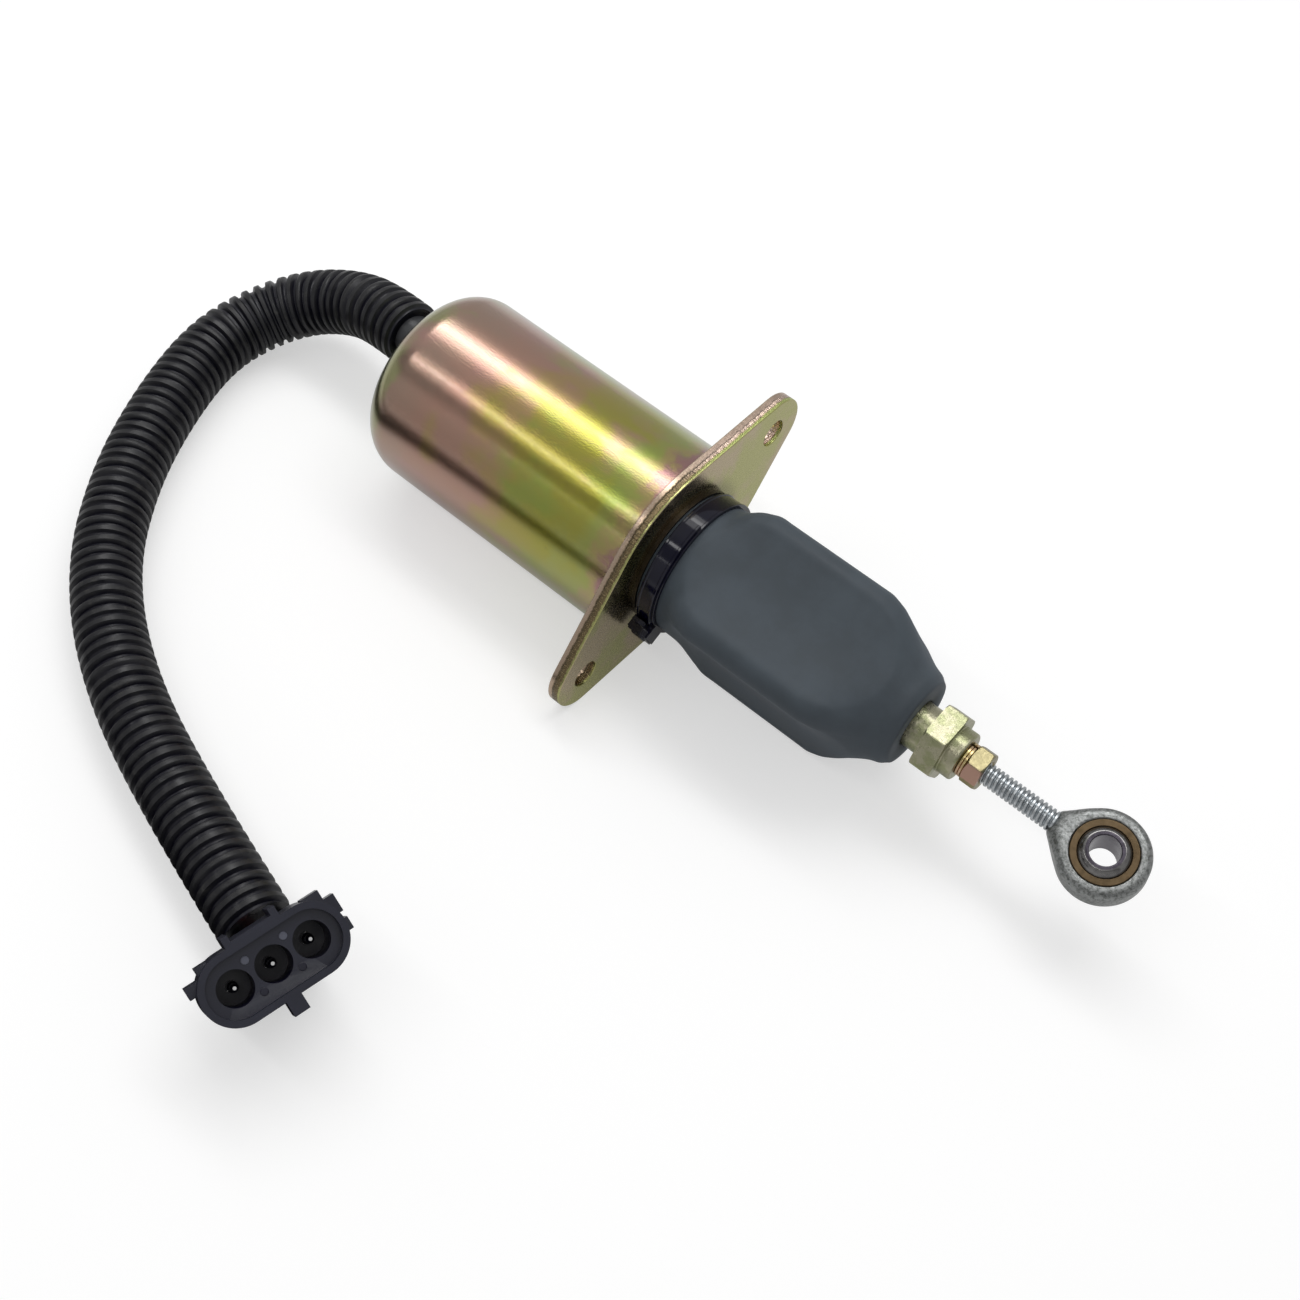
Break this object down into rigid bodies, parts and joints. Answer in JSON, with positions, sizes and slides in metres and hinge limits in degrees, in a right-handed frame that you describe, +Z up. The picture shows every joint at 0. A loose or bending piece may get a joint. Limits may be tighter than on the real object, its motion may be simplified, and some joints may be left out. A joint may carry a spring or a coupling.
{
  "type": "fuel shutoff solenoid",
  "caption": "Pull-in solenoid with a rhombic flange, a rubber-booted plunger with a swivelling rod end, and a corrugated lead with a three-way plug",
  "frame": {"origin": "centre of the flange's front mounting face, on the plunger's axis", "axes": "+X along the plunger towards the rod end, +Z up as the part lies on one long edge of its flange"},
  "size_m": [0.2563, 0.1795, 0.0476],
  "materials": {
    "yellow_zinc_can": "drawn steel with iridescent yellow zinc plating",
    "yellow_zinc_plate": "sheared steel plate with yellow zinc plating",
    "dark_steel": "turned steel, dark plated",
    "tube_brass": "drawn brass",
    "soft_iron": "turned soft iron",
    "bobbin_nylon": "natural nylon",
    "copper_wire": "enamelled copper winding",
    "winding_tape": "wound tape",
    "fibre_board": "punched fibre board",
    "spring_steel": "spring wire",
    "boot_rubber": "matte blue-grey moulded rubber",
    "tie_nylon": "glossy black nylon",
    "grommet_rubber": "matte dark rubber",
    "conduit_plastic": "black corrugated polyethylene",
    "lead_white": "white insulation",
    "lead_red": "red insulation",
    "lead_black": "black insulation",
    "connector_plastic": "satin black moulded plastic",
    "seal_rubber": "ribbed silicone seal",
    "tinned_contact": "tinned contact",
    "zinc_bright": "bright zinc plating",
    "yellow_zinc_coupler": "turned steel with pale yellow zinc plating",
    "yellow_zinc_washer": "yellow zinc plating",
    "yellow_zinc_nut": "yellow and pink zinc plating",
    "race_bronze": "dull bronze",
    "ball_steel": "ground steel"
  },
  "bodies": {
    "solenoid": {"can": "yellow_zinc_can", "mounting_flange": "yellow_zinc_plate", "front_hub": "dark_steel", "guide_tube": "tube_brass", "pole_piece": "soft_iron", "coil_bobbin": "bobbin_nylon", "pull_winding": "copper_wire", "hold_winding": "copper_wire", "winding_wrap": "winding_tape", "rear_flux_washer": "soft_iron", "terminal_board": "fibre_board", "return_spring": "spring_steel", "dust_boot": "boot_rubber", "boot_tie": "tie_nylon", "cable_grommet": "grommet_rubber", "conduit": "conduit_plastic", "lead_white": "lead_white", "lead_red": "lead_red", "lead_black": "lead_black", "connector_housing": "connector_plastic", "connector_rear_lock": "connector_plastic", "wire_seal_left": "seal_rubber", "wire_seal_middle": "seal_rubber", "wire_seal_right": "seal_rubber", "contact_pin_left": "tinned_contact", "contact_pin_middle": "tinned_contact", "contact_pin_right": "tinned_contact"},
    "plunger": {"plunger": "soft_iron", "plunger_stud": "zinc_bright", "spring_seat": "zinc_bright", "hex_coupler": "yellow_zinc_coupler", "lock_washer": "yellow_zinc_washer", "jam_nut": "yellow_zinc_nut", "rod_end": "zinc_bright", "rod_end_race": "race_bronze"},
    "ball": {"rod_end_ball": "ball_steel"}
  },
  "joints": [
    {"name": "plunger_slide", "type": "slide", "parent": "solenoid", "child": "plunger", "axis": [1, 0, 0], "range_m": [-0.025, 0], "stiffness_N_per_m": 300, "springref_m": 0.01, "deforming": ["return_spring", "dust_boot"]},
    {"name": "ball_swivel", "type": "hinge", "parent": "plunger", "child": "ball", "pos_m": [0.11, 0, 0], "axis": [1, 0, 0], "range_deg": [-12, 12]}
  ]
}
